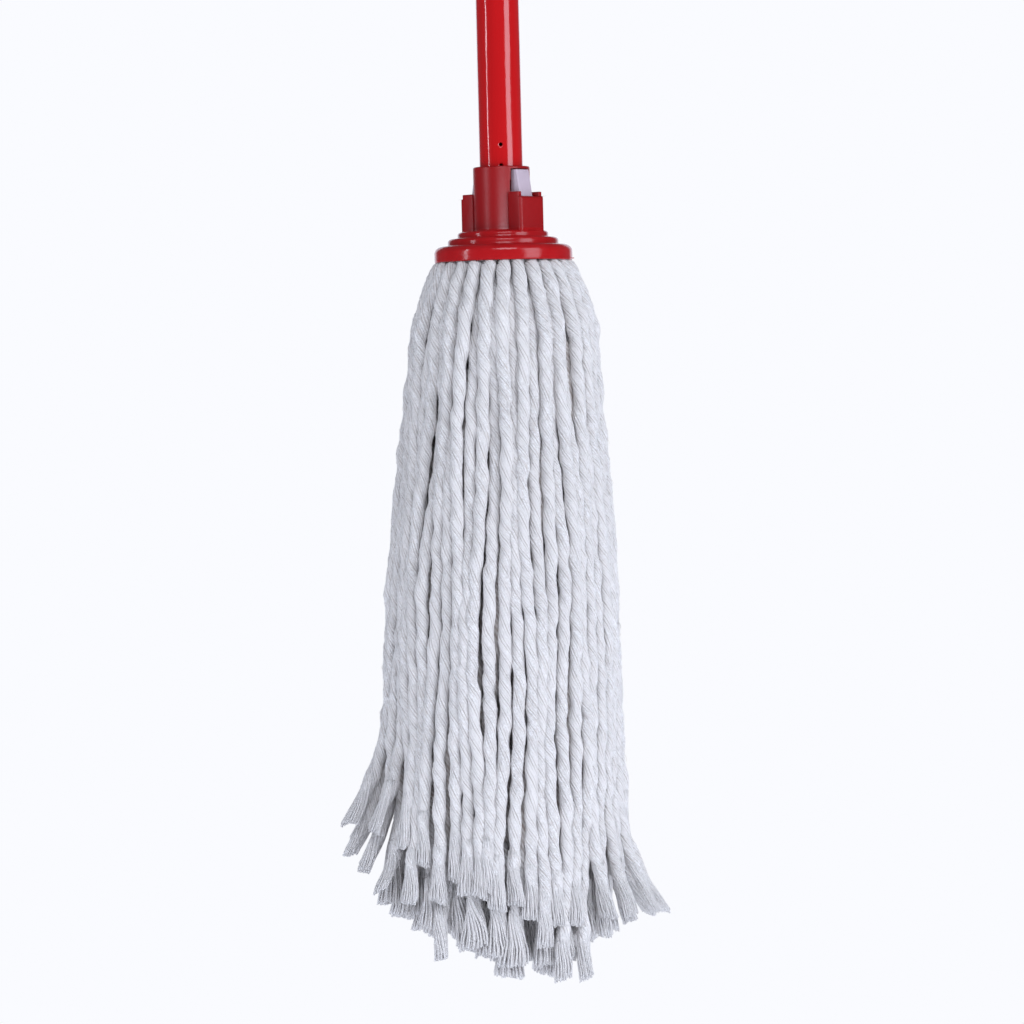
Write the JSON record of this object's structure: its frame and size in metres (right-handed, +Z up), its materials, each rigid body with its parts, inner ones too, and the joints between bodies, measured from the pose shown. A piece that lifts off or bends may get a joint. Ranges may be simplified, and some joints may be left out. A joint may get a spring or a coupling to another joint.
{
  "type": "string mop",
  "caption": "String mop: long round handle with a hanging eye, stepped moulded socket with two side wedges that grip the handle, and a loose bundle of cotton yarn.",
  "frame": {"origin": "the point at the top of the cap's eye that bears on a hook, on the handle's axis; the mop hangs below it", "axes": "+Z up along the handle; the socket's two wedge pockets face +X and -X; the yarn is cut shortest on the side between +X and -Y"},
  "size_m": [0.144, 0.1435, 1.5776],
  "materials": {
    "handle_enamel": "glossy red coating on a steel tube",
    "socket_plastic": "injection moulded, semi-gloss red",
    "wedge_plastic": "natural milky plastic, moulded",
    "screw_steel": "zinc plated",
    "cotton_yarn": "bleached twisted cotton yarn, soft and matt"
  },
  "bodies": {
    "handle": {"handle_tube": "handle_enamel", "hanging_cap": "socket_plastic"},
    "mop_head": {"mop_socket": "socket_plastic", "retainer_plate": "wedge_plastic", "retainer_screw": "screw_steel", "yarn_crown": "cotton_yarn", "yarn_core": "cotton_yarn", "yarn_strand_01": "cotton_yarn", "yarn_strand_02": "cotton_yarn", "yarn_strand_03": "cotton_yarn", "yarn_strand_04": "cotton_yarn", "yarn_strand_05": "cotton_yarn", "yarn_strand_06": "cotton_yarn", "yarn_strand_07": "cotton_yarn", "yarn_strand_08": "cotton_yarn", "yarn_strand_09": "cotton_yarn", "yarn_strand_10": "cotton_yarn", "yarn_strand_11": "cotton_yarn", "yarn_strand_12": "cotton_yarn", "yarn_strand_13": "cotton_yarn", "yarn_strand_14": "cotton_yarn", "yarn_strand_15": "cotton_yarn", "yarn_strand_16": "cotton_yarn", "yarn_strand_17": "cotton_yarn", "yarn_strand_18": "cotton_yarn", "yarn_strand_19": "cotton_yarn", "yarn_strand_20": "cotton_yarn", "yarn_strand_21": "cotton_yarn", "yarn_strand_22": "cotton_yarn", "yarn_strand_23": "cotton_yarn", "yarn_strand_24": "cotton_yarn", "yarn_strand_25": "cotton_yarn", "yarn_strand_26": "cotton_yarn", "yarn_strand_27": "cotton_yarn", "yarn_strand_28": "cotton_yarn"},
    "wedge_right": {"locking_wedge_right": "wedge_plastic"},
    "wedge_left": {"locking_wedge_left": "wedge_plastic"}
  },
  "joints": [
    {"name": "head_pull_off", "type": "slide", "parent": "handle", "child": "mop_head", "axis": [0, 0, -1], "range_m": [0, 0.04]},
    {"name": "wedge_right_release", "type": "slide", "parent": "mop_head", "child": "wedge_right", "axis": [0.1668, 0, -0.986], "range_m": [0, 0.0056]},
    {"name": "wedge_left_release", "type": "slide", "parent": "mop_head", "child": "wedge_left", "axis": [-0.1668, 0, -0.986], "range_m": [0, 0.0056]}
  ]
}
